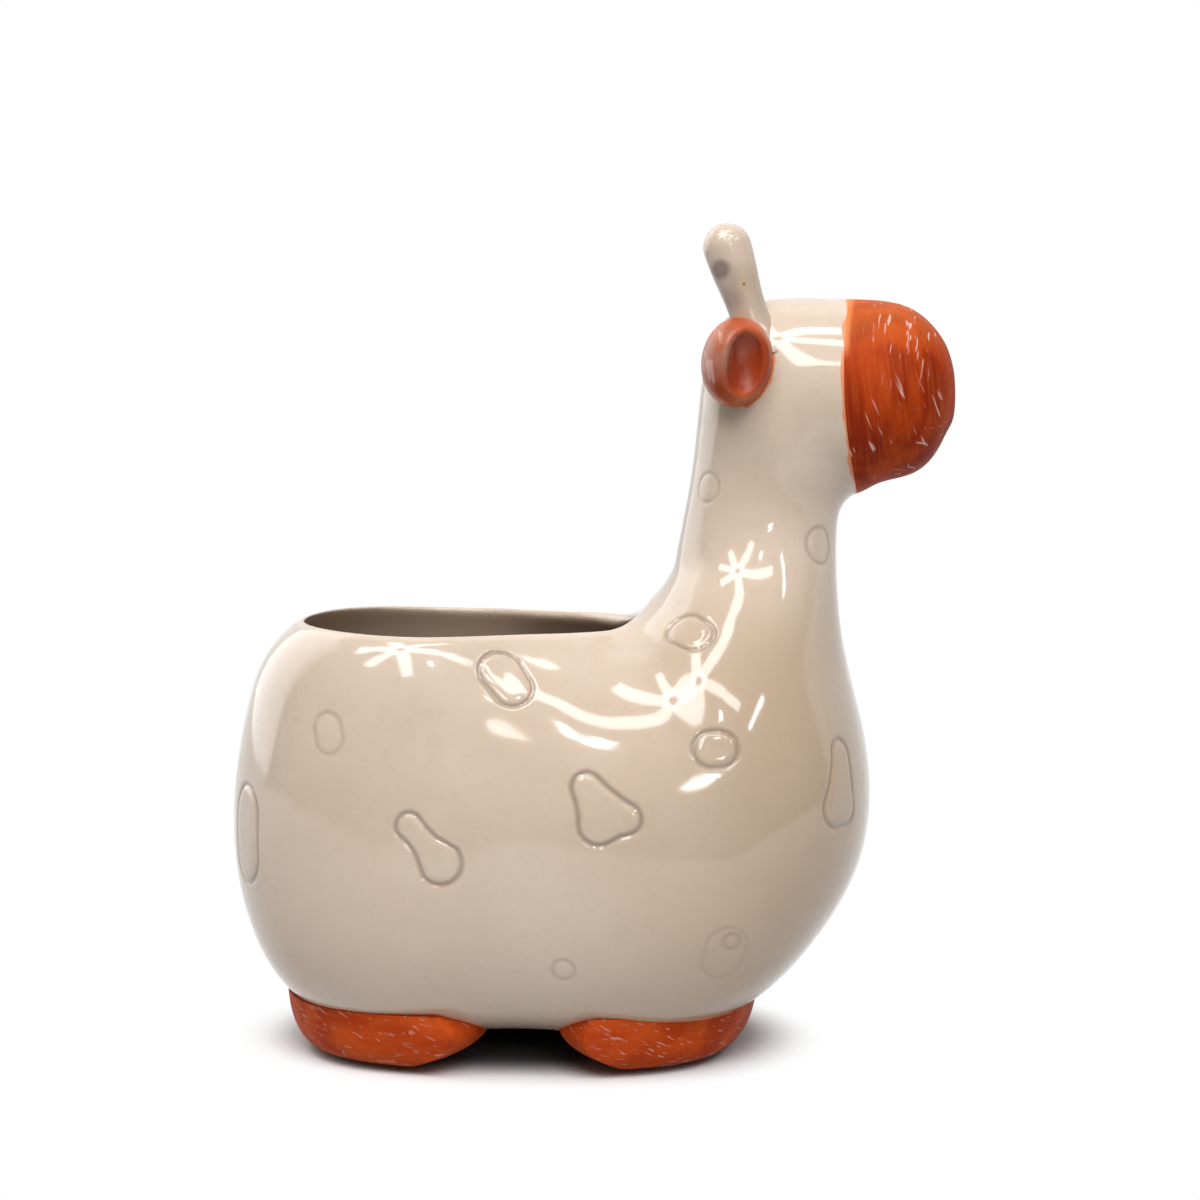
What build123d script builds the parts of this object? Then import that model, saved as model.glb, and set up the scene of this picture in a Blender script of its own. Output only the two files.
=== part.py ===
from build123d import *
import os

os.makedirs("parts", exist_ok=True)

# Giraffe planter in millimetres: x towards its nose, y to its left, z up, standing on z = 0

# Body, the pot
body_length = 140.4
body_width = 106.0
rim_height = 92.6
belly_height = 5.4
wall = 4.8
floor_thickness = 5.0
lip_round = 1.5

# Bend between the mouth of the pot and the back of the neck
saddle_setback = 59.15
saddle_rise = 18.9
saddle_radius = 17.0
rim_rise_lead = 2.0
rim_rise_radius = 9.5

# Neck and head
nape_setback = 39.35
chin_setback = 0.65
chin_rise = 22.9
chin_radius = 6.5
nose_overhang = 18.0
head_height = 48.8
head_width = 42.6

# Muzzle, in another finish
muzzle_setback = 3.95
muzzle_lean = 2.6
muzzle_bow_radius = 90.0

# Foot under the belly, its four hooves and their pads
pad_height = 1.5
pad_radius = 5.5
foot_length = 102.0
foot_width = 86.0
foot_height = 13.5
foot_setback = 76.65
hoof_length = 68.0
hoof_width = 50.0
hoof_rise = 10.5
hoof_middle_height = 9.5
rear_hoof_setback = 39.0
front_hoof_lead = 43.8
hoof_spread = 56.0
rear_pad_setback = 30.0
front_pad_lead = 30.5
pad_spread = 44.0

# Ossicones, the knobbed horns
ossicone_rise = 15.7
ossicone_length = 30.0
ossicone_spread = 23.0
ossicone_setback = 31.55
ossicone_lean = 18.0
ball_radius = 5.2
waist_radius = 4.4
waist_length = 15.5
stem_base_radius = 7.4

# Ears
ear_length = 15.2
ear_height = 19.4
ear_depth = 20.0
ear_setback = 29.35
ear_drop = 14.4
ear_spread = 36.0
ear_tilt = 8.0
cup_length = 9.0
cup_height = 16.5
cup_depth = 13.0
cup_forward = 2.6
cup_reach = 9.6
ear_edge_round = 1.0

# Drain hole and its stopper
drain_radius = 6.0
stopper_clearance = 0.06
flange_radius = 9.0
flange_thickness = 2.0
seat_depth = 1.0
seat_margin = 1.0
shaft_proud = 2.0
shaft_lead = 0.8
tab_length = 12.0
tab_width = 3.4
tab_height = 2.0
tab_round = 0.8

# Side outline of the body from above the rump, under the belly and up the throat:
# x share of half the length, z share of the rim height, width share, squareness share, bend share
body_shares = [
    (-0.730, 1.120, 0.740, 0.58, 0.50),
    (-0.912, 0.926, 0.850, 0.60, 0.40),
    (-0.984, 0.712, 0.905, 0.62, 0.35),
    (-0.999, 0.496, 0.940, 0.66, 0.35),
    (-0.940, 0.290, 0.960, 0.72, 0.35),
    (-0.795, 0.130, 0.975, 0.78, 0.35),
    (-0.600, 0.062, 0.990, 0.80, 0.40),
    (-0.083, 0.057, 1.000, 0.80, 0.60),
    (0.420, 0.062, 0.990, 0.80, 0.82),
    (0.655, 0.135, 0.970, 0.78, 0.93),
    (0.825, 0.260, 0.930, 0.74, 1.00),
    (0.972, 0.455, 0.860, 0.68, 1.00),
    (0.990, 0.702, 0.720, 0.63, 1.00),
    (0.912, 0.972, 0.505, 0.60, 1.00),
    (0.893, 1.204, 0.349, 0.57, 1.00),
]

# Nape and crown: x share of the head length, z share of the head height, width share
head_shares = [
    (0.000, 0.236, 0.812),
    (0.026, 0.522, 0.869),
    (0.064, 0.768, 0.915),
    (0.150, 0.932, 0.939),
    (0.315, 0.998, 0.962),
    (0.522, 1.000, 0.986),
]
head_square_share = 0.57
inner_square_share = 0.58

# Muzzle: x and z shares of the chin line, then of the bridge, and the width share
muzzle_shares = [
    (0.728, 0.174, 0.713, 0.990, 1.000),
    (0.850, 0.216, 0.841, 0.950, 0.913),
    (0.935, 0.312, 0.931, 0.858, 0.711),
    (0.980, 0.414, 0.979, 0.759, 0.481),
    (0.999, 0.496, 0.998, 0.680, 0.281),
]

# Foot: height share, length share and width share of each level
foot_shares = [
    (0.00, 0.90, 0.89),
    (0.17, 0.96, 0.96),
    (0.50, 1.00, 1.00),
    (1.00, 1.02, 1.02),
]
foot_square_share = 0.76

# Places that follow from the sizes above
chest_x = (body_length - nose_overhang) / 2
body_middle_x = chest_x - body_length / 2
foot_x = chest_x - foot_setback
nape_x = chest_x - nape_setback
head_length = nape_setback + nose_overhang
chin_height = rim_height + chin_rise
crown_height = chin_height + head_height
floor_height = belly_height + floor_thickness
saddle_x = chest_x - saddle_setback
saddle = Vector(saddle_x, 0, rim_height + saddle_rise)
chin = Vector(chest_x - chin_setback, 0, chin_height)
beyond = 2 * crown_height
sides = {"left": 1, "right": -1}


def oval(inner, outer, half_width, inner_share, outer_share):
    """Closed section across the side outline, four quarter curves with a squareness for each half."""
    middle = (inner + outer) / 2
    reach = outer - middle
    side = Vector(0, half_width, 0)
    arms = [reach, side, reach * -1, side * -1]
    quarters = []
    square_shares = [outer_share, inner_share, inner_share, outer_share]
    for arm, following, square_share in zip(arms, arms[1:] + arms[:1], square_shares):
        start = middle + arm
        end = middle + following
        quarters.append(Bezier(start, start + following * square_share, end + arm * square_share, end))
    return Wire(quarters)


def hinged(hinge, radius, point, half_width, outer_share, skin):
    """Section on the plane through a hinge and an outline point, drawn in by the skin."""
    line = point - hinge
    way = line.normalized()
    reach = line.length - skin
    if skin and way.Z < 0:
        reach = min(reach, (floor_height - hinge.Z) / way.Z)
    inner = hinge + way * (radius + skin)
    return oval(inner, hinge + way * reach, half_width - skin, inner_square_share, outer_share)


def head_point(x_share, z_share):
    """Point of the head's side outline."""
    return Vector(nape_x + x_share * head_length, 0, chin_height + z_share * head_height)


def figure_sections(skin, head_count):
    """Sections from the mouth of the pot, round the belly and up into the head."""
    sections = []
    for x_share, z_share, width_share, square_share, bend_share in body_shares:
        point = Vector(body_middle_x + x_share * body_length / 2, 0, z_share * rim_height)
        bend = bend_share * saddle_radius
        sections.append(hinged(saddle, bend, point, width_share * body_width / 2, square_share, skin))
    for x_share, z_share, width_share in head_shares[:head_count]:
        point = head_point(x_share, z_share)
        half_width = width_share * head_width / 2
        sections.append(hinged(chin, chin_radius, point, half_width, head_square_share, skin))
    return sections


def level_oval(middle_x, height, length, width, square_share):
    """Level oval with its long way along x."""
    middle = Vector(middle_x, 0, height)
    ends = Vector(length / 2, 0, 0)
    return oval(middle - ends, middle + ends, width / 2, square_share, square_share)


def ball(length, width, height):
    """Rounded lobe with three different sizes."""
    return scale(Sphere(1), by=(length / 2, width / 2, height / 2))


def upright(radius, height, end):
    """Upright cylinder that starts or ends at the origin."""
    return Cylinder(radius, height, align=(Align.CENTER, Align.CENTER, end))


# Outer skin of the whole figure, one surface from the mouth of the pot to the nose
outer_sections = figure_sections(0, len(head_shares))
for low_x, low_z, high_x, high_z, width_share in muzzle_shares:
    low = head_point(low_x, low_z)
    high = head_point(high_x, high_z)
    half_width = width_share * head_width / 2
    outer_sections.append(oval(low, high, half_width, inner_square_share, head_square_share))
figure = Solid.make_loft(outer_sections)

# Hollow inside, up through the neck into the head
hollow = Solid.make_loft(figure_sections(wall, len(head_shares) - 1))

# Rim: level round the back and sides, rising to meet the neck
rise_start = (saddle_x + rim_rise_lead, rim_height)
rise = JernArc(rise_start, (1, 0), rim_rise_radius, 90)
rim_outline = Polyline(
    rise @ 1,
    ((rise @ 1).X, beyond),
    (-beyond, beyond),
    (-beyond, rim_height),
    rise_start,
)
above_rim = extrude(Plane.XZ * make_face(Curve() + [rise, rim_outline]), amount=beyond, both=True)
trimmed = figure - above_rim

# Muzzle, parted from the casting along a bowed and leaning face
muzzle_x = chest_x - muzzle_setback
muzzle_place = Pos(muzzle_x, 0, chin_height + head_height / 2) * Rot(0, -muzzle_lean, 0)
bow = muzzle_place * Pos(-muzzle_bow_radius, 0, 0) * Cylinder(muzzle_bow_radius, beyond)
face_box = Box(beyond, beyond, beyond, align=(Align.MIN, Align.CENTER, Align.MIN))
muzzle_zone = Pos(muzzle_x - head_width / 2, 0, chin_height) * face_box - bow
muzzle = trimmed & muzzle_zone
casting = trimmed - muzzle_zone - hollow

# Lip, round along both edges
level_face = casting.faces().filter_by(Plane.XY).sort_by(Axis.Z)[-1]
rising_face = casting.faces().filter_by(GeomType.CYLINDER).sort_by(Axis.X)[0]
lip_edges = ShapeList()
for face, neighbour in ((level_face, rising_face), (rising_face, level_face)):
    shared = neighbour.edges()
    lip_edges += [edge for edge in face.edges() if not any(edge.is_same(other) for other in shared)]
casting = casting.fillet(lip_round, lip_edges)

# Drain hole, with a flat seat round it for the stopper
seat_height = belly_height + seat_depth
drain_place = Pos(foot_x, 0, seat_height)
casting = casting - drain_place * upright(drain_radius, 2 * floor_thickness, Align.MIN)
casting = casting - drain_place * upright(flange_radius + seat_margin, seat_height, Align.MAX)

# Stopper, pushed up into the drain hole from below
shaft_length = floor_height + shaft_proud - seat_height
shaft = upright(drain_radius - stopper_clearance, shaft_length, Align.MIN)
shaft = chamfer(shaft.edges().group_by(Axis.Z)[-1], shaft_lead)
tab = Box(tab_length, tab_width, tab_height, align=(Align.CENTER, Align.CENTER, Align.MAX))
tab = fillet(tab.edges().filter_by(Axis.Z), tab_round)
stopper = shaft + upright(flange_radius, flange_thickness, Align.MAX) + Pos(0, 0, -flange_thickness) * tab

nodes = {"body_casting": casting, "muzzle": muzzle, "drain_stopper": drain_place * stopper}

# Hooves: rounded lobes of one foot, each with a pad under its sole
levels = []
for height_share, length_share, width_share in foot_shares:
    height = pad_height + height_share * (foot_height - pad_height)
    width = foot_width * width_share
    levels.append(level_oval(foot_x, height, foot_length * length_share, width, foot_square_share))
foot = Solid.make_loft(levels)
lobe = ball(hoof_length, hoof_width, 2 * hoof_rise)
pad = upright(pad_radius, pad_height, Align.MIN)
ends = {"rear": (-rear_hoof_setback, -rear_pad_setback), "front": (front_hoof_lead, front_pad_lead)}
for end, (hoof_x, pad_x) in ends.items():
    for side, way in sides.items():
        hoof = foot & Pos(foot_x + hoof_x, way * hoof_spread / 2, hoof_middle_height) * lobe
        nodes[f"{end}_{side}_hoof"] = hoof - figure
        nodes[f"{end}_{side}_pad"] = Pos(foot_x + pad_x, way * pad_spread / 2, 0) * pad

# Ears: cupped lobes on the sides of the head
lobes = {}
for side, way in sides.items():
    place = Pos(chest_x - ear_setback, way * ear_spread / 2, crown_height - ear_drop) * Rot(0, ear_tilt, 0)
    cup = Pos(cup_forward, way * cup_reach, 0) * ball(cup_length, cup_depth, cup_height)
    lobes[side] = place * Rot(90, 0, 0) * ball(ear_length, ear_height, ear_depth)
    ear = lobes[side] - place * cup - figure
    rim = ear.edges().sort_by(Axis.Y)[-1 if way > 0 else 0]
    nodes[f"{side}_ear"] = fillet(rim, ear_edge_round)

# Ossicones: knobbed stems that lean back and flare into the crown and round the ears
ball_height = ossicone_length - ball_radius
stem_outline = Spline(
    (stem_base_radius, 0),
    (waist_radius, waist_length),
    (ball_radius, ball_height),
    tangents=[(-1, 1), (0, 1)],
)
knob_outline = RadiusArc((ball_radius, ball_height), (0, ossicone_length), -ball_radius)
stem_closing = Polyline((0, ossicone_length), (0, 0), (stem_base_radius, 0))
stem = revolve(Plane.XZ * make_face(Curve() + [stem_outline, knob_outline, stem_closing]), Axis.Z)
knob_height = crown_height + ossicone_rise - ball_radius
for side, way in sides.items():
    knob = Pos(chest_x - ossicone_setback, way * ossicone_spread / 2, knob_height)
    ossicone = knob * Rot(0, -ossicone_lean, 0) * Pos(0, 0, -ball_height) * stem
    nodes[f"{side}_ossicone"] = ossicone - figure - lobes[side]

for node, shape in nodes.items():
    export_step(shape, f"parts/{node}.step")
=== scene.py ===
import math

import bmesh
import bpy
import numpy as np
from mathutils import Matrix, Vector
from mathutils.bvhtree import BVHTree


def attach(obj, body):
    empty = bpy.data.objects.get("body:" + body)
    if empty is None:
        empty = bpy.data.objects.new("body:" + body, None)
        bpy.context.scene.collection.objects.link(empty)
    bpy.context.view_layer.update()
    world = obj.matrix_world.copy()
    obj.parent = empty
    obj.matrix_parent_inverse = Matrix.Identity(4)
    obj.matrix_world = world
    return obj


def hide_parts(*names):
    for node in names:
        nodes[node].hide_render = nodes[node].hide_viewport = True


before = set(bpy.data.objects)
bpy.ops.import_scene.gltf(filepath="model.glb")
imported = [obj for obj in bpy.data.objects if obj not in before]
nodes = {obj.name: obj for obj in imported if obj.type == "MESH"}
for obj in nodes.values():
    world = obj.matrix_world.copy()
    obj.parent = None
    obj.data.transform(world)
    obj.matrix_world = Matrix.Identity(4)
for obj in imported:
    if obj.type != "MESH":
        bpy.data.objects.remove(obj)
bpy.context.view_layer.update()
MM = 0.001

# Skin of the body; a share to keep holds points back while the skin is smoothed
VOXEL = 0.9 * MM
SMOOTH_ROUNDS = 60
SMOOTH_SHARES = (0.5, -0.515)
NECK_X = 12 * MM
LIP_NEAR = 2.5 * MM
LIP_FAR = 5 * MM
LIP_KEEP = 0.75
DRAIN_X = -15.45 * MM
DRAIN_REACH = 12 * MM
DRAIN_TOP = 13 * MM
DRAIN_KEEP = 0.9

# Rim, rounded at its outer edge, turned in and raised at the rear; pairs are where a change starts and ends
RIM_HEIGHT = 92.6 * MM
RIM_TOP = RIM_HEIGHT - 2 * MM
RIM_ROUND_DROP = 14.0 * MM
RIM_ROUND_DEPTH = 4.2 * MM
RIM_INNER_SHARE = 0.4
RIM_STEEPEST = 0.985
RIM_FADE = (-9 * MM, 4 * MM)
RIM_REAR = (30 * MM, 75 * MM)
RIM_REAR_DEPTH = 3.0 * MM
RIM_REAR_RISE = 1.4 * MM
RIM_SMOOTH_ROUNDS = 6
RIM_SMOOTH_SHARE = 0.6
MOUTH_X = -32 * MM
WALL_LEAST = 0.1 * MM
OUTSIDE = 300 * MM

# Spots: a groove along the outline and a slightly raised middle
GROOVE_HALF_WIDTH = 0.55 * MM
GROOVE_DEPTH = 0.40 * MM
PAD_RISE = 0.15 * MM
PAD_EDGE = (-2.2 * MM, -0.2 * MM)
PAD_MIDDLE = (-7 * MM, -1.2 * MM)
LOBE_BLEND = 1.2 * MM
SPOT_REACH = 12 * MM
REFINE_WIDTHS = (3.2 * MM, 2.4 * MM)
FAR_AWAY = 1.0
NO_LENGTH = 1e-12

# Inside of the pot, found by rays along the skin's normals
RAY_LIFT = 0.4 * MM
RAY_LENGTH = 140 * MM
POT_FLOOR_TOP = 45 * MM
POT_FLOOR_SLOPE = 0.1
INSIDE_ROUNDS = 6

# Parting line of the muzzle
MUZZLE_X = 57.25 * MM
MUZZLE_Z = 139.9 * MM
MUZZLE_LEAN = math.radians(2.6)
MUZZLE_BOW = 90 * MM
CHIN_Z = 115.5 * MM
CUT_JOIN = 0.02 * MM

# Distance from the painted trim, looked for up to a reach; the last is in mm, for points beyond it
TRIM_REACH = 6 * MM
TRIM_BEYOND = 9.0

# Engraved spots: side (-1 is the giraffe's right), depth share, then lobes with x, z and radius in mm
SPOTS = [
    (-1, 1.00, [(-16.1, 85.8, 4.6), (-13.6, 82.6, 4.1)]),
    (-1, 1.00, [(-34.2, 54.8, 2.8), (-31.5, 51.8, 2.4), (-27.8, 47.5, 4.5)]),
    (-1, 1.10, [(2.1, 63.1, 2.8), (4.6, 55.6, 3.8), (10.0, 56.8, 2.9), (2.1, 63.1, 2.8)]),
    (-1, 0.80, [(21.1, 93.6, 4.1), (23.5, 92.6, 4.0)]),
    (-1, 0.95, [(27.3, 70.6, 3.8), (28.9, 70.6, 3.8)]),
    (-1, 1.00, [(54.2, 67.2, 3.4), (52.9, 57.0, 3.7), (55.2, 57.0, 3.7), (54.2, 67.2, 3.4)]),
    (-1, 0.40, [(-51.7, 74.3, 3.1), (-51.2, 72.1, 3.1)]),
    (-1, 0.45, [(31.5, 31.1, 1.7)]),
    (-1, 0.28, [(29.6, 27.2, 4.4), (30.4, 29.8, 4.4)]),
    (-1, 0.40, [(-2.9, 25.2, 2.3)]),
    (-1, 0.40, [(25.5, 122.9, 3.2)]),
    (-1, 0.60, [(49.8, 110.4, 4.0)]),
    (-1, 0.90, [(-71.8, 54.0, 6.4), (-71.8, 45.9, 6.4)]),
    (1, 0.90, [(-76.0, 72.5, 4.4)]),
    (1, 1.00, [(-57.0, 62.5, 4.8), (-50.5, 57.5, 2.7)]),
    (1, 1.00, [(-24.0, 80.0, 5.0)]),
    (1, 1.00, [(-31.5, 45.5, 2.7), (-28.5, 42.0, 2.4), (-24.0, 37.5, 4.6)]),
    (1, 1.00, [(2.5, 66.5, 2.8), (-2.5, 59.0, 3.6), (4.0, 58.0, 3.0), (2.5, 66.5, 2.8)]),
    (1, 0.90, [(24.0, 84.0, 4.2)]),
    (1, 1.00, [(31.0, 58.5, 3.0), (36.5, 53.5, 4.4), (33.0, 51.0, 3.2), (31.0, 58.5, 3.0)]),
    (1, 1.00, [(53.0, 76.0, 4.6)]),
    (1, 0.70, [(30.0, 108.0, 3.8)]),
    (1, 0.60, [(14.0, 30.0, 3.4)]),
    (1, 0.60, [(-52.0, 30.0, 3.8)]),
]


def new_object(name, data):
    obj = bpy.data.objects.new(name, data)
    bpy.context.scene.collection.objects.link(obj)
    return obj


def rows_of(items, name, width, kind=float):
    """One value of all vertices or edges, a row for each."""
    values = np.zeros(len(items) * width, kind)
    items.foreach_get(name, values)
    return values.reshape(-1, width)


def points_of(mesh):
    return rows_of(mesh.vertices, "co", 3)


def set_points(mesh, points):
    mesh.vertices.foreach_set("co", np.asarray(points, float).ravel())
    mesh.update()


def add_attribute(mesh, name, values):
    attribute = mesh.attributes.new(name, "FLOAT", "POINT")
    attribute.data.foreach_set("value", np.asarray(values, np.float32))


def edges_of(mesh):
    return rows_of(mesh.edges, "vertices", 2, int)


def tree_of(obj):
    return BVHTree.FromObject(obj, bpy.context.evaluated_depsgraph_get())


def joined(node_names):
    """Copies of several solids' meshes in one."""
    build = bmesh.new()
    for node in node_names:
        build.from_mesh(nodes[node].data)
    return build


def remeshed(name, node_names):
    """One closed skin round several solids that touch."""
    build = joined(node_names)
    raw = bpy.data.meshes.new(name)
    build.to_mesh(raw)
    build.free()
    obj = new_object(name, raw)
    change = obj.modifiers.new("remesh", "REMESH")
    change.mode = "VOXEL"
    change.voxel_size = VOXEL
    ready = obj.evaluated_get(bpy.context.evaluated_depsgraph_get())
    mesh = bpy.data.meshes.new_from_object(ready)
    obj.modifiers.clear()
    obj.data = mesh
    bpy.data.meshes.remove(raw)
    return obj


def spread(values, edges):
    """Mean of each point's neighbours."""
    count, width = values.shape
    total = np.zeros((count, width))
    near = np.zeros(count)
    for a, b in ((0, 1), (1, 0)):
        for axis in range(width):
            total[:, axis] += np.bincount(edges[:, a], values[edges[:, b], axis], count)
        near += np.bincount(edges[:, a], minlength=count)
    return total / np.maximum(near, 1)[:, None]


def relax(mesh, rounds, keep):
    """Smooths a mesh without shrinking it; keep holds back the points where it is near 1."""
    points = points_of(mesh)
    edges = edges_of(mesh)
    free = (1 - keep)[:, None]
    for turn in range(rounds):
        for share in SMOOTH_SHARES:
            points = points + share * free * (spread(points, edges) - points)
    set_points(mesh, points)


def smooth_step(values, low, high):
    t = np.clip((values - low) / (high - low), 0, 1)
    return t * t * (3 - 2 * t)


def surface_point(tree, x, z, side):
    """Point of the outer skin seen from one side."""
    hit = tree.ray_cast(Vector((x, side, z)), Vector((0, -side, 0)))[0]
    return np.array(hit)


def spot_distance(points, lobes):
    """Distance outside a spot whose lobes run into each other in turn."""
    result = None
    for (start, first), (end, second) in zip(lobes, lobes[1:] or lobes):
        line = end - start
        along = np.clip((points - start) @ line / max(line @ line, NO_LENGTH), 0, 1)
        radius = first + (second - first) * along
        away = np.linalg.norm(points - start - along[:, None] * line, axis=1) - radius
        if result is None:
            result = away
        else:
            mix = np.clip(0.5 + 0.5 * (result - away) / LOBE_BLEND, 0, 1)
            result = result * (1 - mix) + away * mix - LOBE_BLEND * mix * (1 - mix)
    return result


def all_spots(points, tree):
    """Distance to the nearest spot's outline, and that spot's depth share."""
    nearest = np.full(len(points), FAR_AWAY)
    depth = np.zeros(len(points))
    for side, share, lobes in SPOTS:
        placed = [(surface_point(tree, x * MM, z * MM, side), r * MM) for x, z, r in lobes]
        away = spot_distance(points, placed)
        closer = np.abs(away) < np.abs(nearest)
        nearest[closer] = away[closer]
        depth[closer] = share
    return nearest, depth


def bow(points):
    """How far the muzzle's parting face is bowed at each point."""
    return np.sqrt(np.maximum(MUZZLE_BOW**2 - points[:, 1] ** 2, 0)) - MUZZLE_BOW


def parting(points):
    """Distance in front of the muzzle's parting face."""
    x = points[:, 0] - MUZZLE_X
    z = points[:, 2] - MUZZLE_Z
    return x * math.cos(MUZZLE_LEAN) + z * math.sin(MUZZLE_LEAN) - bow(points)


def body_skin():
    """Body and muzzle in one smooth skin that keeps its lip and its drain hole."""
    obj = remeshed("glazed_body", ["body_casting", "muzzle"])
    points = points_of(obj.data)
    near_lip = 1 - smooth_step(np.abs(points[:, 2] - RIM_HEIGHT), LIP_NEAR, LIP_FAR)
    near_lip *= points[:, 0] < NECK_X
    from_drain = np.hypot(points[:, 0] - DRAIN_X, points[:, 1])
    near_drain = (from_drain < DRAIN_REACH) & (points[:, 2] < DRAIN_TOP)
    keep = np.maximum(near_lip * LIP_KEEP, near_drain * DRAIN_KEEP)
    relax(obj.data, SMOOTH_ROUNDS, keep)
    return obj


def wall_share(tree, height, outward, radius):
    """How far through the pot's wall a point lies, from 0 at the inner face to 1 at the outer."""
    start = Vector((MOUTH_X, 0, min(height, RIM_TOP)))
    inner = tree.ray_cast(start, Vector(outward))[0]
    outer = tree.ray_cast(start + Vector(outward) * OUTSIDE, Vector(-outward))[0]
    if inner is None or outer is None:
        return None
    near, far = (inner - start).length, (outer - start).length
    return np.clip((radius - near) / max(far - near, WALL_LEAST), 0, 1)


def round_rim(obj):
    """Rounds the rim's outer edge, and turns it in and raises it at the rear."""
    tree = tree_of(obj)
    points = points_of(obj.data)
    start = RIM_HEIGHT - RIM_ROUND_DROP
    for index in np.flatnonzero((points[:, 2] > start) & (points[:, 0] < RIM_FADE[1])):
        x, y, z = points[index]
        outward = np.array((x - MOUTH_X, y, 0))
        radius = np.linalg.norm(outward)
        outward /= radius
        across = wall_share(tree, z, outward, radius)
        if across is None:
            continue
        up = min((z - start) / RIM_ROUND_DROP, RIM_STEEPEST)
        fade = 1 - smooth_step(x, *RIM_FADE)
        rear = smooth_step(-x, *RIM_REAR)
        depth = RIM_ROUND_DEPTH * (RIM_INNER_SHARE + (1 - RIM_INNER_SHARE) * across)
        depth += RIM_REAR_DEPTH * rear
        points[index] -= outward * fade * depth * (1 - math.sqrt(1 - up * up))
        points[index][2] += RIM_REAR_RISE * rear * up
    set_points(obj.data, points)
    high = smooth_step(points[:, 2], start, RIM_TOP) * (points[:, 0] < NECK_X)
    relax(obj.data, RIM_SMOOTH_ROUNDS, 1 - RIM_SMOOTH_SHARE * high)


def refine(obj, tree):
    """Finer mesh along the spots' outlines."""
    for width in REFINE_WIDTHS:
        away = all_spots(points_of(obj.data), tree)[0]
        close = np.abs(away) < width
        build = bmesh.new()
        build.from_mesh(obj.data)
        edges = [e for e in build.edges if close[e.verts[0].index] and close[e.verts[1].index]]
        bmesh.ops.subdivide_edges(build, edges=edges, cuts=1, use_grid_fill=True)
        build.to_mesh(obj.data)
        build.free()


def inside_of(obj, points, normals):
    """1 where the skin faces into the pot, 0 outside, and soft between them."""
    tree = tree_of(obj)
    inside = np.zeros(len(points))
    for index, (point, normal) in enumerate(zip(points, normals)):
        way = Vector(normal)
        hit = tree.ray_cast(Vector(point) + way * RAY_LIFT, way, RAY_LENGTH)[0]
        on_floor = normal[2] > POT_FLOOR_SLOPE and point[2] < POT_FLOOR_TOP
        inside[index] = 1.0 if hit is not None or on_floor else 0.0
    edges = edges_of(obj.data)
    for turn in range(INSIDE_ROUNDS):
        inside = 0.5 * inside + 0.5 * spread(inside[:, None], edges)[:, 0]
    return inside


def engrave(obj):
    """Engraves the spots on the outside, and notes the grooves and the inside for the glaze."""
    tree = tree_of(obj)
    refine(obj, tree)
    points = points_of(obj.data)
    normals = rows_of(obj.data.vertices, "normal", 3)
    away, depth = all_spots(points, tree)
    groove = np.exp(-((away / GROOVE_HALF_WIDTH) ** 2)) * depth
    pad = (1 - smooth_step(away, *PAD_EDGE)) * smooth_step(away, *PAD_MIDDLE) * depth
    lift = np.where(np.abs(away) < SPOT_REACH, PAD_RISE * pad - GROOVE_DEPTH * groove, 0)
    inside = inside_of(obj, points, normals)
    in_pot = inside > 0.5
    lift[in_pot] = 0
    groove[in_pot] = 0
    set_points(obj.data, points + normals * lift[:, None])
    add_attribute(obj.data, "groove", groove)
    add_attribute(obj.data, "inside", inside)


def part_muzzle(obj):
    """Cuts the muzzle from the body along its parting face."""
    build = bmesh.new()
    build.from_mesh(obj.data)
    # x becomes the distance in front of the parting face, so that a flat cut follows the face
    for vertex, ahead in zip(build.verts, parting(np.array([v.co for v in build.verts]))):
        vertex.co.x = ahead
    around = set()
    for face in build.faces:
        if all(v.co.z > CHIN_Z for v in face.verts):
            around.update((face, *face.edges, *face.verts))
    bmesh.ops.bisect_plane(
        build, geom=list(around), dist=CUT_JOIN, plane_co=(0, 0, 0), plane_no=(1, 0, 0)
    )
    co = np.array([v.co for v in build.verts])
    lean = (co[:, 2] - MUZZLE_Z) * math.sin(MUZZLE_LEAN)
    places = MUZZLE_X + (co[:, 0] + bow(co) - lean) / math.cos(MUZZLE_LEAN)
    for vertex, x in zip(build.verts, places):
        vertex.co.x = x
    middles = np.array([f.calc_center_median() for f in build.faces])
    is_muzzle = (parting(middles) > 0) & (middles[:, 2] > CHIN_Z)
    muzzle_build = build.copy()
    for part, unwanted in ((build, is_muzzle), (muzzle_build, ~is_muzzle)):
        faces = [f for f, gone in zip(part.faces, unwanted) if gone]
        bmesh.ops.delete(part, geom=faces, context="FACES")
    build.to_mesh(obj.data)
    muzzle_mesh = obj.data.copy()
    muzzle_build.to_mesh(muzzle_mesh)
    build.free()
    muzzle_build.free()
    return new_object("painted_muzzle", muzzle_mesh)


def mark_trim(body, muzzle):
    """Notes, in mm, how far the glaze is from paint and how far the muzzle's paint is from glaze."""
    build = joined([name for name in nodes if name.endswith(("ear", "hoof"))])
    tree = BVHTree.FromBMesh(build)
    build.free()
    points = points_of(body.data)
    trim = np.full(len(points), TRIM_BEYOND)
    for index, point in enumerate(points):
        distance = tree.find_nearest(Vector(point), TRIM_REACH)[3]
        if distance is not None:
            trim[index] = distance / MM
    behind = np.maximum(-parting(points) / MM, 0)
    high = points[:, 2] > CHIN_Z
    trim[high] = np.minimum(trim[high], behind[high])
    add_attribute(body.data, "trim", trim)
    add_attribute(muzzle.data, "trim", parting(points_of(muzzle.data)) / MM)


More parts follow.
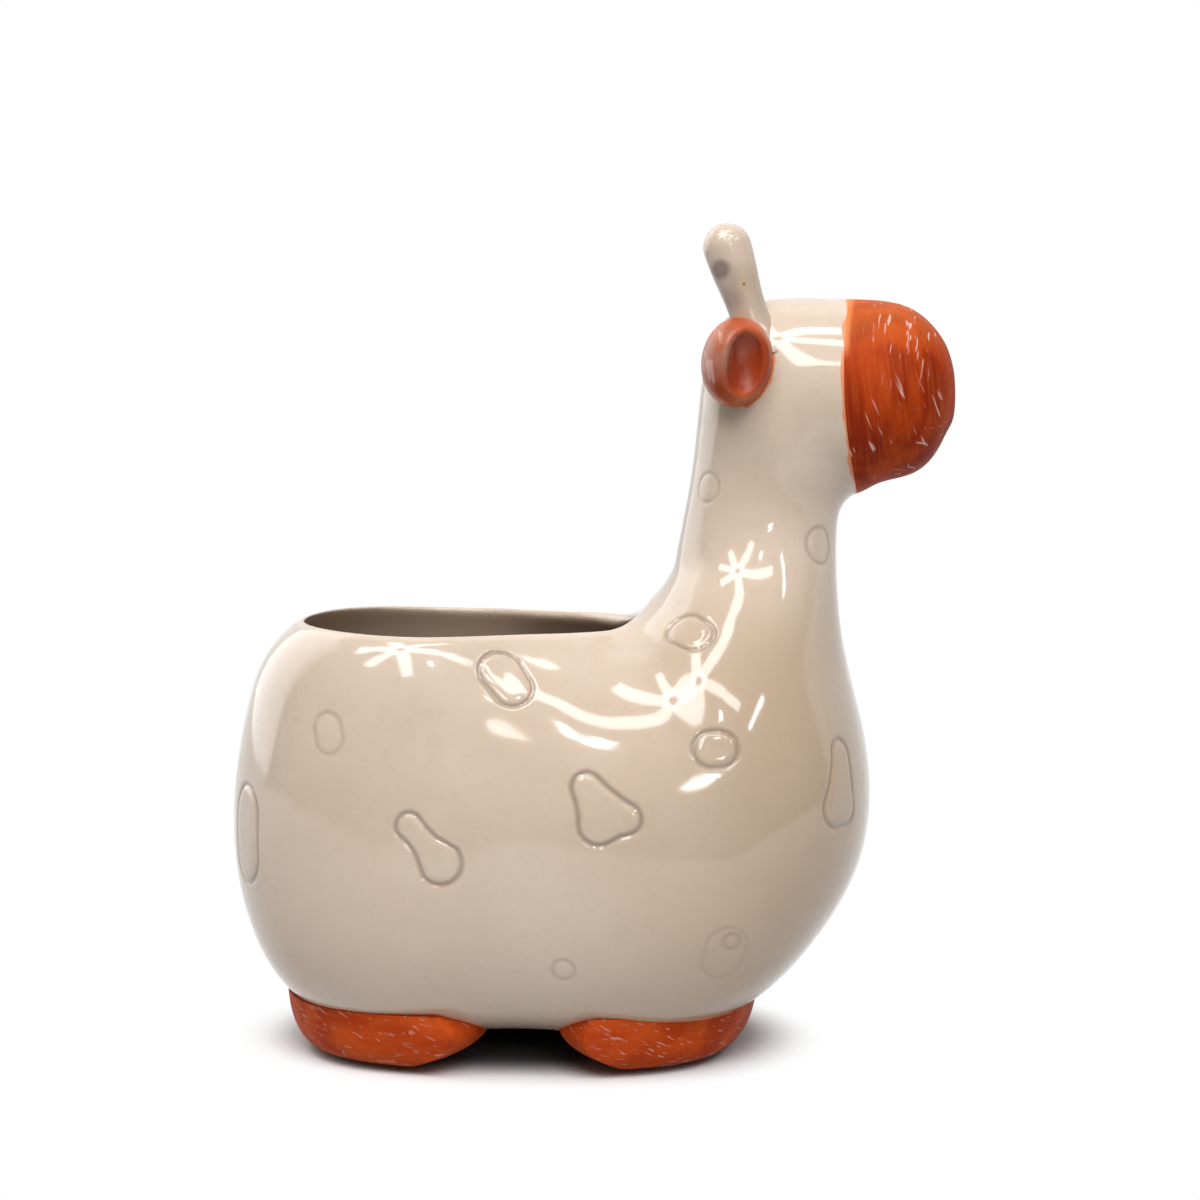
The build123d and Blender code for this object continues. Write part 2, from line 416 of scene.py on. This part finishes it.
body = body_skin()
round_rim(body)
engrave(body)
muzzle = part_muzzle(body)
mark_trim(body, muzzle)
for obj in (body, muzzle):
    obj.data.polygons.foreach_set("use_smooth", [True] * len(obj.data.polygons))
    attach(obj, "planter")
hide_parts("body_casting")
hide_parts("muzzle")


class Nodes:
    """Short way to write a node tree."""

    def __init__(self, tree):
        self.tree = tree

    def add(self, kind, inputs=None, **settings):
        node = self.tree.nodes.new(kind)
        for key, value in settings.items():
            setattr(node, key, value)
        for key, value in (inputs or {}).items():
            self.put(node.inputs[key], value)
        return node

    def put(self, socket, value):
        if isinstance(value, bpy.types.NodeSocket):
            self.tree.links.new(value, socket)
        else:
            socket.default_value = value

    def noise(self, vector, scale, detail=2.0, rough=0.5):
        inputs = {"Vector": vector, "Scale": scale, "Detail": detail, "Roughness": rough}
        return self.add("ShaderNodeTexNoise", inputs).outputs["Fac"]

    def ramp(self, value, low, high):
        """0 at low, 1 at high, smooth between them."""
        inputs = {"Value": value, "From Min": low, "From Max": high}
        return self.add("ShaderNodeMapRange", inputs, interpolation_type="SMOOTHSTEP").outputs["Result"]

    def mix(self, share, first, second):
        """First colour where the share is 0, second where it is 1."""
        node = self.add("ShaderNodeMix", data_type="RGBA")
        self.put(node.inputs["Factor"], share)
        self.put(node.inputs[6], first)
        self.put(node.inputs[7], second)
        return node.outputs[2]

    def math(self, operation, first, second):
        return self.add("ShaderNodeMath", {0: first, 1: second}, operation=operation).outputs[0]

    def times(self, first, *others):
        for other in others:
            first = self.math("MULTIPLY", first, other)
        return first

    def plus(self, first, second):
        return self.math("ADD", first, second)

    def rest(self, share):
        return self.math("SUBTRACT", 1.0, share)

    def attribute(self, name):
        return self.add("ShaderNodeAttribute", attribute_name=name).outputs["Fac"]

    def place(self):
        return self.add("ShaderNodeTexCoord").outputs["Object"]

    def along(self, axis, low, high):
        """Ramp between two places on one axis, in mm."""
        parts = self.add("ShaderNodeSeparateXYZ", {0: self.place()})
        return self.ramp(parts.outputs[axis], low * MM, high * MM)

    def mapped(self, vector, scale=(1, 1, 1), turn=(0, 0, 0)):
        inputs = {"Vector": vector, "Scale": scale, "Rotation": turn}
        return self.add("ShaderNodeMapping", inputs).outputs["Vector"]

    def lines(self, turn, across, along, low, high):
        """Thin lines that lie at one turn from upright on the sides."""
        turned = self.mapped(self.place(), turn=(0, math.radians(turn), 0))
        stretched = self.mapped(turned, (across, 250.0, along))
        return self.ramp(self.noise(stretched, 1.0, detail=1.5, rough=0.45), low, high)

    def near(self, x, z, reach, soft):
        """1 round a place seen from the side, all in mm."""
        flat = self.add("ShaderNodeVectorMath", {0: self.place(), 1: (1.0, 0.0, 1.0)}, operation="MULTIPLY")
        inputs = {0: flat.outputs["Vector"], 1: (x * MM, 0.0, z * MM)}
        away = self.add("ShaderNodeVectorMath", inputs, operation="DISTANCE").outputs["Value"]
        return self.rest(self.ramp(away, (reach - soft) * MM, (reach + soft) * MM))


class Material(Nodes):
    """Nodes of a new material."""

    def __init__(self, name):
        self.material = bpy.data.materials.new(name)
        self.material.use_nodes = True
        super().__init__(self.material.node_tree)
        self.shader = self.tree.nodes["Principled BSDF"]

    def surface(self, **values):
        """Sets the shader's sockets, with spaces in their names written as underscores."""
        for name, value in values.items():
            self.put(self.shader.inputs[name.replace("_", " ")], value)

    def bump(self, height, strength, distance):
        inputs = {"Height": height, "Strength": strength, "Distance": distance}
        self.surface(Normal=self.add("ShaderNodeBump", inputs).outputs["Normal"])


def rgb(red, green, blue):
    return (red, green, blue, 1.0)


WHITE = rgb(1, 1, 1)

# Glaze
GLAZE = rgb(0.565, 0.46, 0.365)
GLAZE_CLOUD = rgb(0.525, 0.415, 0.32)
GLAZE_GRAIN = rgb(0.46, 0.36, 0.27)
GLAZE_SPECK = rgb(0.25, 0.15, 0.08)
# Painted shade for the chest
CHEST_SHADE = rgb(0.36, 0.26, 0.17)
# Painted shade along the engraved grooves
GROOVE_SHADE = rgb(0.26, 0.19, 0.14)
STRAY_PAINT = rgb(0.62, 0.20, 0.07)
# Painted shade inside the pot
POT_INSIDE_SHADE = rgb(0.34, 0.255, 0.185)
HORN_STEM = rgb(0.33, 0.24, 0.18)
GLAZE_IOR = 1.6

# Marks on the horns: x, z, reach and softness in mm, share, colour
HORN_MARKS = (
    ((28.2, 169.8, 2.0, 0.9), 0.75, rgb(0.13, 0.085, 0.07)),
    ((30.6, 163.6, 2.2, 1.6), 0.4, rgb(0.22, 0.15, 0.12)),
    ((33.3, 166.6, 0.35, 0.15), 1.0, rgb(0.28, 0.13, 0.04)),
)

# Paint
PAINT_STROKE = rgb(0.48, 0.11, 0.025)
PAINT_GRAIN = rgb(0.16, 0.018, 0.004)
SCRATCH = rgb(0.74, 0.50, 0.45)
MUZZLE_LIGHT = rgb(0.37, 0.041, 0.003)
MUZZLE_DARK = rgb(0.22, 0.017, 0.002)
# Painted highlight along the muzzle's top edge and on its top
MUZZLE_EDGE_HIGHLIGHT = rgb(0.66, 0.24, 0.09)
MUZZLE_TOP_HIGHLIGHT = rgb(0.66, 0.17, 0.04)
HOOF_LIGHT = rgb(0.54, 0.072, 0.008)
HOOF_DARK = rgb(0.40, 0.042, 0.005)
EAR_LIGHT = rgb(0.48, 0.105, 0.022)
EAR_DARK = rgb(0.34, 0.050, 0.009)
# Painted shade for the ear's hollow
EAR_HOLLOW_SHADE = rgb(0.24, 0.024, 0.005)
EAR_WORN = rgb(0.33, 0.15, 0.10)


def glaze_base(m):
    """Clouds, grain and specks of the glaze, and its slightly wavy surface."""
    place = m.place()
    clouds = m.noise(place, 28.0, detail=3.0)
    fine = m.noise(place, 420.0, detail=3.0, rough=0.6)
    specks = m.add("ShaderNodeTexVoronoi", {"Vector": place, "Scale": 120.0, "Randomness": 1.0})
    speck = m.math("LESS_THAN", specks.outputs["Distance"], 0.03)
    color = m.mix(m.ramp(clouds, 0.35, 0.68), GLAZE, GLAZE_CLOUD)
    color = m.mix(m.times(m.ramp(fine, 0.45, 0.75), 0.25), color, GLAZE_GRAIN)
    color = m.mix(m.times(speck, 0.22), color, GLAZE_SPECK)
    m.surface(IOR=GLAZE_IOR)
    waves = m.plus(m.noise(place, 60.0, detail=1.0), m.times(fine, 0.06))
    m.bump(waves, strength=0.22, distance=0.6 * MM)
    return color


def body_material(name):
    """Glaze with painted shade on the chest, along the grooves and inside the pot, stray paint beside the
    trim and a duller inside.
    """
    m = Material(name)
    color = glaze_base(m)
    # Painted shade: the chest darkens where it turns away from the lamps
    chest = m.times(m.along("X", -5, 45), m.along("Z", 110, 85), 0.72)
    color = m.mix(chest, color, CHEST_SHADE)
    # Painted shade: the glaze darkens along the engraved grooves
    color = m.mix(m.times(m.attribute("groove"), 0.72), color, GROOVE_SHADE)
    wobble = m.plus(m.attribute("trim"), m.times(m.noise(m.place(), 160.0, detail=3.0), -2.4))
    paint = m.rest(m.ramp(wobble, -0.80, -0.70))
    color = m.mix(paint, color, STRAY_PAINT)
    inside = m.attribute("inside")
    # Painted shade inside the pot; the inside is also rougher
    color = m.mix(m.ramp(inside, 0.3, 0.9), color, POT_INSIDE_SHADE)
    matt = m.plus(m.times(paint, 0.4), m.times(inside, 0.3))
    m.surface(Base_Color=color, Roughness=m.plus(matt, 0.085))
    return m.material


def horn_material(name):
    """Glaze with a darker stem and a few marks."""
    m = Material(name)
    color = glaze_base(m)
    color = m.mix(m.times(m.along("Z", 174, 167), 0.5), color, HORN_STEM)
    for place, share, tone in HORN_MARKS:
        color = m.mix(m.times(m.near(*place), share), color, tone)
    m.surface(Base_Color=color, Roughness=0.18)
    return m.material


def painted_base(m, light, dark, turn):
    """Brushed paint: broad soft strokes and fine ones along one turn."""
    broad = m.lines(turn, across=160.0, along=45.0, low=0.35, high=0.66)
    fine = m.lines(turn, across=1500.0, along=90.0, low=0.40, high=0.72)
    grain = m.ramp(m.noise(m.place(), 900.0), 0.5, 0.8)
    color = m.mix(broad, dark, light)
    color = m.mix(m.times(fine, 0.22), color, PAINT_STROKE)
    return m.mix(m.times(grain, 0.25), color, PAINT_GRAIN)


def finish_paint(m, color, scratches, rough, shine):
    """Adds the scratches, each given as a share, and the paint's surface."""
    for share in scratches:
        color = m.mix(share, color, SCRATCH)
    uneven = m.times(m.noise(m.place(), 300.0), 0.2)
    m.surface(Base_Color=color, Roughness=m.plus(uneven, rough), Specular_IOR_Level=shine)
    m.bump(m.noise(m.place(), 700.0), strength=0.15, distance=0.2 * MM)
    return m.material


def muzzle_material(name):
    """Paint with a painted highlight on its top and along its top edge, and scratches in three directions.
    """
    m = Material(name)
    color = painted_base(m, MUZZLE_LIGHT, MUZZLE_DARK, 6)
    # Painted highlight: lighter paint along the top edge and on the top of the muzzle
    edge = m.rest(m.ramp(m.attribute("trim"), 0.3, 1.6))
    color = m.mix(m.times(edge, m.along("Z", 150, 154), 0.75), color, MUZZLE_EDGE_HIGHLIGHT)
    color = m.mix(m.times(m.along("Z", 151, 160), 0.32), color, MUZZLE_TOP_HIGHLIGHT)
    patch = m.ramp(m.noise(m.place(), 95.0), 0.46, 0.60)
    slanted = m.lines(24, across=1500.0, along=75.0, low=0.66, high=0.71)
    slanted = m.times(slanted, patch, m.along("Z", 150, 140), 0.7)
    upright = m.lines(-8, across=1400.0, along=70.0, low=0.64, high=0.71)
    upright = m.times(upright, m.along("X", 56, 66), m.along("Z", 142, 154), 0.65)
    level = m.lines(82, across=1600.0, along=90.0, low=0.68, high=0.73)
    level = m.times(level, m.along("X", 64, 72), m.along("Z", 142, 132), 0.6)
    return finish_paint(m, color, (slanted, upright, level), rough=0.45, shine=0.07)


def hoof_material(name):
    """Paint with short scratches, more of them near the ground."""
    m = Material(name)
    color = painted_base(m, HOOF_LIGHT, HOOF_DARK, 88)
    patch = m.ramp(m.noise(m.place(), 120.0), 0.44, 0.62)
    low = m.plus(m.times(m.along("Z", 7, 2.5), 0.7), 0.3)
    short = m.lines(84, across=1700.0, along=300.0, low=0.60, high=0.68)
    short = m.times(short, patch, low, 0.7)
    slanted = m.lines(60, across=1900.0, along=330.0, low=0.66, high=0.71)
    slanted = m.times(slanted, m.rest(patch), 0.45)
    return finish_paint(m, color, (short, slanted), rough=0.45, shine=0.07)


def ear_material(name):
    """Glossier paint, with painted shade in the hollow, and worn at the rear edge."""
    m = Material(name)
    color = painted_base(m, EAR_LIGHT, EAR_DARK, 10)
    # Painted shade: the ear's hollow is darkened as a shaded recess
    hollow = m.near(34.2, 149.6, reach=6.2, soft=1.2)
    color = m.mix(m.times(hollow, 0.85), color, EAR_HOLLOW_SHADE)
    patch = m.ramp(m.noise(m.place(), 240.0, detail=3.0), 0.30, 0.62)
    worn = m.times(m.near(28.6, 152.0, reach=4.6, soft=2.5), patch, 0.75)
    color = m.mix(worn, color, EAR_WORN)
    rim = m.lines(8, across=700.0, along=130.0, low=0.60, high=0.68)
    rim = m.times(rim, m.along("X", 31, 27), 0.4)
    return finish_paint(m, color, (rim,), rough=0.24, shine=0.4)


def rubber_material(name, color, dark):
    """Matt rubber with a fine grain."""
    m = Material(name)
    grain = m.noise(m.place(), 900.0, detail=3.0)
    m.surface(Base_Color=m.mix(grain, color, dark), Roughness=m.plus(m.times(grain, 0.15), 0.6))
    m.bump(grain, strength=0.3, distance=0.2 * MM)
    return m.material


def wear(obj, material):
    obj.data.materials.clear()
    obj.data.materials.append(material)


wear(body, body_material("body_glaze"))
wear(muzzle, muzzle_material("muzzle_paint"))
looks = {
    "hoof": hoof_material("hoof_paint"),
    "ear": ear_material("ear_paint"),
    "pad": rubber_material("pad_rubber", rgb(0.62, 0.61, 0.59), rgb(0.5, 0.49, 0.47)),
    "ossicone": horn_material("horn_glaze"),
    "stopper": rubber_material("stopper_rubber", rgb(0.045, 0.045, 0.048), rgb(0.03, 0.03, 0.032)),
}
for name, obj in nodes.items():
    for ending, material in looks.items():
        if name.endswith(ending):
            wear(obj, material)

# Floor, in metres; it runs far behind the object
FLOOR_CORNERS = [(-3, -0.33, 0), (3, -0.33, 0), (3, 4, 0), (-3, 4, 0)]
FLOOR_WHITE = 0.86
FLOOR_BOUNCE_LOSS = 0.36
FOOTPRINT_SHIFT = (15.5 * MM, 0.0, 0.0)
FOOTPRINT_SCALE = (16.0, 20.0, 0.0)
# Painted shadow beneath the object: where it fades out and how dark it gets
SHADE_RANGE = (0.45, 0.8)
SHADE_DEPTH = 0.8
GLOW_RANGE = (0.78, 1.08)


def floor_material(name):
    """White floor with a painted shadow beneath the object, shining white beyond it, seen from above only.
    """
    m = Material(name)
    path = m.add("ShaderNodeLightPath").outputs
    bounce = m.math("SUBTRACT", FLOOR_WHITE, m.times(path["Is Diffuse Ray"], FLOOR_BOUNCE_LOSS))
    moved = m.add("ShaderNodeVectorMath", {0: m.place(), 1: FOOTPRINT_SHIFT}).outputs["Vector"]
    footprint = m.mapped(moved, FOOTPRINT_SCALE)
    away = m.add("ShaderNodeVectorMath", {0: footprint}, operation="LENGTH").outputs["Value"]
    # Painted shadow: the floor's colour darkens beneath the object
    painted_shadow = m.plus(m.times(m.ramp(away, *SHADE_RANGE), SHADE_DEPTH), 1 - SHADE_DEPTH)
    m.surface(Base_Color=m.times(bounce, painted_shadow), Roughness=0.9, Specular_IOR_Level=0.0)
    glow = m.add("ShaderNodeEmission", {"Color": WHITE, "Strength": 1.0}).outputs[0]
    shown = m.plus(path["Is Camera Ray"], path["Is Glossy Ray"])
    shares = m.times(shown, m.ramp(away, *GLOW_RANGE))
    above = m.add("ShaderNodeMixShader", {0: shares, 1: m.shader.outputs[0], 2: glow}).outputs[0]
    below = m.add("ShaderNodeBsdfTransparent").outputs[0]
    behind = m.add("ShaderNodeNewGeometry").outputs["Backfacing"]
    sides = m.add("ShaderNodeMixShader", {0: behind, 1: above, 2: below}).outputs[0]
    m.put(m.tree.nodes["Material Output"].inputs[0], sides)
    return m.material


floor_mesh = bpy.data.meshes.new("floor")
floor_mesh.from_pydata(FLOOR_CORNERS, [], [(0, 1, 2, 3)])
floor = new_object("floor", floor_mesh)
wear(floor, floor_material("floor_white"))

# World: strength of the light from all round, and of the room that is mirrored in front and behind
AMBIENT = 0.12
ROOM_FRONT = 0.22
ROOM_BEHIND = 0.75
ROOM_EDGE = (0.20, 0.34)


def room_world(name):
    """White behind the object, a dimmer room on the camera's side."""
    world = bpy.data.worlds.new(name)
    world.use_nodes = True
    w = Nodes(world.node_tree)
    path = w.add("ShaderNodeLightPath").outputs
    way = w.add("ShaderNodeTexCoord").outputs["Generated"]
    ahead = w.add("ShaderNodeSeparateXYZ", {0: way}).outputs["Y"]
    room = w.plus(w.times(w.ramp(ahead, *ROOM_EDGE), ROOM_BEHIND), ROOM_FRONT - AMBIENT)
    shiny = w.times(path["Is Glossy Ray"], room)
    seen = w.times(path["Is Camera Ray"], 1 - AMBIENT)
    background = w.tree.nodes["Background"].inputs
    w.put(background["Strength"], w.plus(w.plus(shiny, seen), AMBIENT))
    w.put(background["Color"], WHITE)
    return world


bpy.context.scene.world = room_world("room")

# Lamps lie round a middle, in directions given as azimuth and elevation; the star's lengths are shares
# of the lamps' distance, and widths are angles in degrees
LAMP_MIDDLE = Vector((0.01, 0, 0.09))
LAMP_DISTANCE = 1.1
STAR_HUB = (-30, 62)
STAR_BARS = 6
STAR_TURN = 8
STAR_GAP = 0.04
STAR_REACH = 0.42
STAR_REACH_RIGHT = 0.36
STAR_WIDTH = 8.0
STAR_GLOW = 7.8
GLINT_GLOW = 22

# Small lamps that glint on the flank and the neck: start, end and width
GLINTS = (
    ((9, 42), (13, 42), 6.0),
    ((15, 21), (19, 17), 2.0),
    ((14, 18), (19, 14), 2.0),
    ((41, 32), (68, 42), 2.0),
)


def from_middle(azimuth, elevation):
    """Direction from the middle of the object, azimuth to the right of the camera's side."""
    a, e = math.radians(azimuth), math.radians(elevation)
    return Vector((math.cos(e) * math.sin(a), -math.cos(e) * math.cos(a), math.sin(e)))


def bar_light(name, start, end, width, glow, glints=True):
    """Bright bar between two directions; without glints it lights but isn't mirrored."""
    first = LAMP_MIDDLE + LAMP_DISTANCE * start
    last = LAMP_MIDDLE + LAMP_DISTANCE * end
    place = (first + last) / 2
    data = bpy.data.lights.new(name, "AREA")
    data.shape = "RECTANGLE"
    data.size = (last - first).length
    data.size_y = LAMP_DISTANCE * math.radians(width)
    data.energy = glow * math.pi * data.size * data.size_y
    obj = new_object(name, data)
    back = (place - LAMP_MIDDLE).normalized()
    side = (last - first).normalized()
    side = (side - back * back.dot(side)).normalized()
    turned = Matrix((side, back.cross(side), back)).transposed()
    obj.matrix_world = Matrix.Translation(place) @ turned.to_4x4()
    obj.visible_camera = False
    obj.visible_glossy = glints


def star_light():
    """Star of bars overhead, with longer bars towards the giraffe's front."""
    hub = from_middle(*STAR_HUB)
    level = Vector((0, 0, 1)).cross(hub).normalized()
    rising = hub.cross(level)
    for number in range(STAR_BARS):
        turn = math.radians(360 / STAR_BARS * number + STAR_TURN)
        spoke = level * math.cos(turn) + rising * math.sin(turn)
        reach = STAR_REACH + STAR_REACH_RIGHT * max(math.cos(turn), 0)
        bar_light(f"bar_{number}", hub + STAR_GAP * spoke, hub + reach * spoke, STAR_WIDTH, STAR_GLOW)


star_light()
for number, (start, end, width) in enumerate(GLINTS):
    bar_light(f"glint_{number}", from_middle(*start), from_middle(*end), width, GLINT_GLOW)
bar_light("soft", from_middle(4, 38), from_middle(28, 38), width=26.0, glow=9.0, glints=False)
bar_light("soft_back", from_middle(155, 40), from_middle(190, 40), width=30.0, glow=4.5, glints=False)
bar_light("side", from_middle(-150, 22), from_middle(-96, 22), width=50.0, glow=1.2)

# Camera, in metres, with its lens in mm
AZIMUTH = math.radians(4)
DISTANCE = 0.550
EYE_HEIGHT = 0.136
FOCAL = 74.26
SENSOR = 36
SHIFT_RIGHT = 0.0050
SHIFT_UP = -0.0538
TILT = math.radians(2.5)
camera_data = bpy.data.cameras.new("camera")
camera_data.lens = FOCAL
camera_data.sensor_width = SENSOR
camera_data.shift_x = SHIFT_RIGHT
camera_data.shift_y = SHIFT_UP
camera = new_object("camera", camera_data)
camera.location = (DISTANCE * math.sin(AZIMUTH), -DISTANCE * math.cos(AZIMUTH), EYE_HEIGHT)
camera.rotation_euler = (math.radians(90) - TILT, 0, AZIMUTH)
bpy.context.scene.camera = camera
bpy.context.scene.view_settings.view_transform = "Standard"
